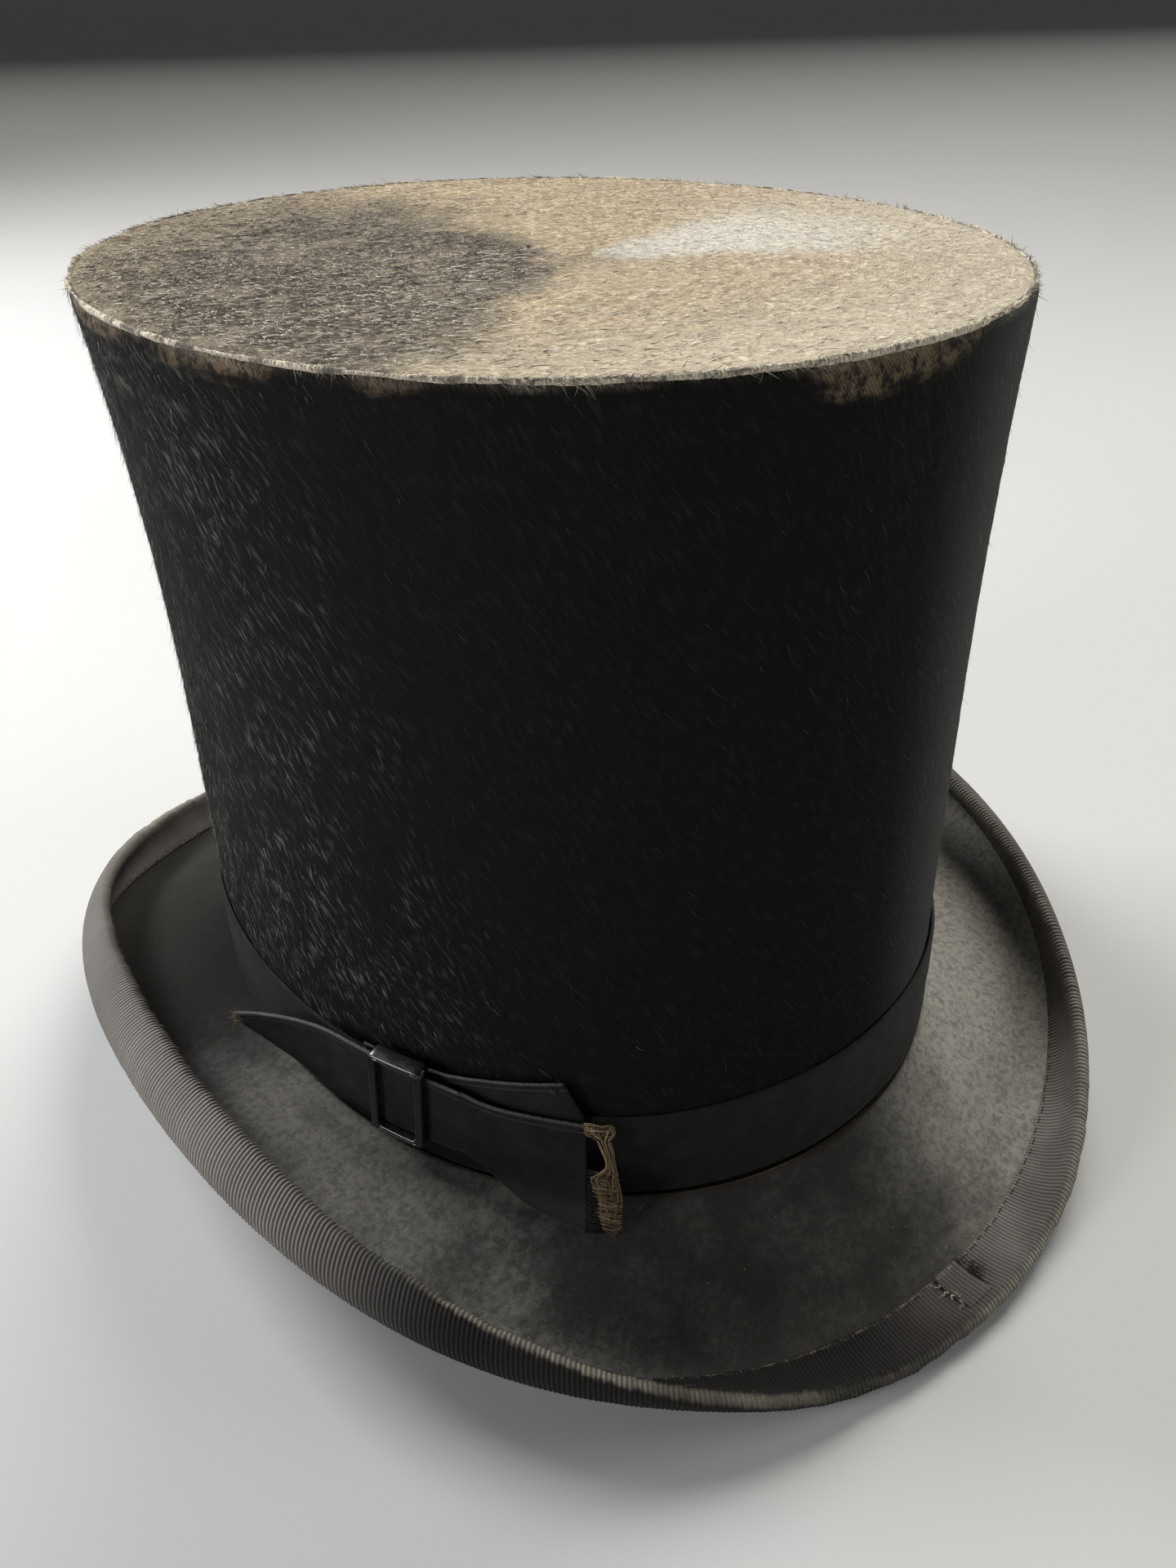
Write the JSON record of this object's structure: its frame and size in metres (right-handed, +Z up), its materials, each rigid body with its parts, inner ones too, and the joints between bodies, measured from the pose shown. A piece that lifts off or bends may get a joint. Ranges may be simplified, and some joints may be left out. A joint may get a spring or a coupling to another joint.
{
  "type": "top hat",
  "caption": "Rigid plush top hat: tall waisted oval crown, brim dipped front and back and curled up at the sides, ribbon-bound edge, strapped hatband with a slide buckle.",
  "frame": {"origin": "centre of the footprint on the plane that the brim's front and back dips rest on", "axes": "+Z up through the crown, +Y from the front of the hat to its back seam, +X towards the wearer's left, the buckle's side"},
  "size_m": [0.2446, 0.2956, 0.1945],
  "materials": {
    "shellacked_board": "stiff shellacked cloth board",
    "linen_collar": "stiffened linen tape",
    "black_plush": "brushed black plush with a long slanting nap",
    "worn_tip_plush": "plush worn to its tan ground",
    "worn_edge_seam": "frayed seam with bare tan threads",
    "brim_cloth": "felted cloth with a short mottled nap",
    "binding_grosgrain": "ribbed grosgrain ribbon, faded along its folds",
    "cotton_cord": "twisted cotton cord",
    "band_cloth": "fine smooth black wool cloth",
    "frayed_threads": "loose tan threads of a torn edge",
    "sewing_thread": "dark silk thread and ribbon",
    "black_enamel": "black japanned metal, worn at its corners",
    "sweatband_leather": "thin tan hat leather",
    "satin_lining": "aged cream satin"
  },
  "bodies": {
    "hat": {"crown_shell": "shellacked_board", "tip_board": "shellacked_board", "brim_board": "shellacked_board", "crown_foot_collar": "linen_collar", "side_plush": "black_plush", "tip_plush": "worn_tip_plush", "tip_edge_seam": "worn_edge_seam", "upper_brim_cloth": "brim_cloth", "under_brim_cloth": "brim_cloth", "brim_binding": "binding_grosgrain", "binding_join": "binding_grosgrain", "rim_cord": "cotton_cord", "hatband": "band_cloth", "hatband_strap": "band_cloth", "strap_underlay": "band_cloth", "strap_frayed_end": "frayed_threads", "strap_tack": "sewing_thread", "sweatband": "sweatband_leather", "sweatband_reed": "cotton_cord", "sweatband_seam_tape": "sewing_thread", "sweatband_bow": "sewing_thread", "lining_side": "satin_lining", "lining_tip": "satin_lining", "lining_piping": "satin_lining"},
    "buckle": {"buckle_frame": "black_enamel", "buckle_centre_bar": "black_enamel"},
    "tail": {"strap_tail": "band_cloth"}
  },
  "joints": [
    {"name": "buckle_slide", "type": "hinge", "parent": "hat", "child": "buckle", "pos_m": [-0.0255, 0.00596, 0.02124], "axis": [0, 0, 1], "range_deg": [-3, 4]},
    {"name": "strap_tail_swing", "type": "hinge", "parent": "hat", "child": "tail", "pos_m": [0.08477, 0.03591, 0.02124], "axis": [0, 0, 1], "range_deg": [-9, 20]}
  ]
}
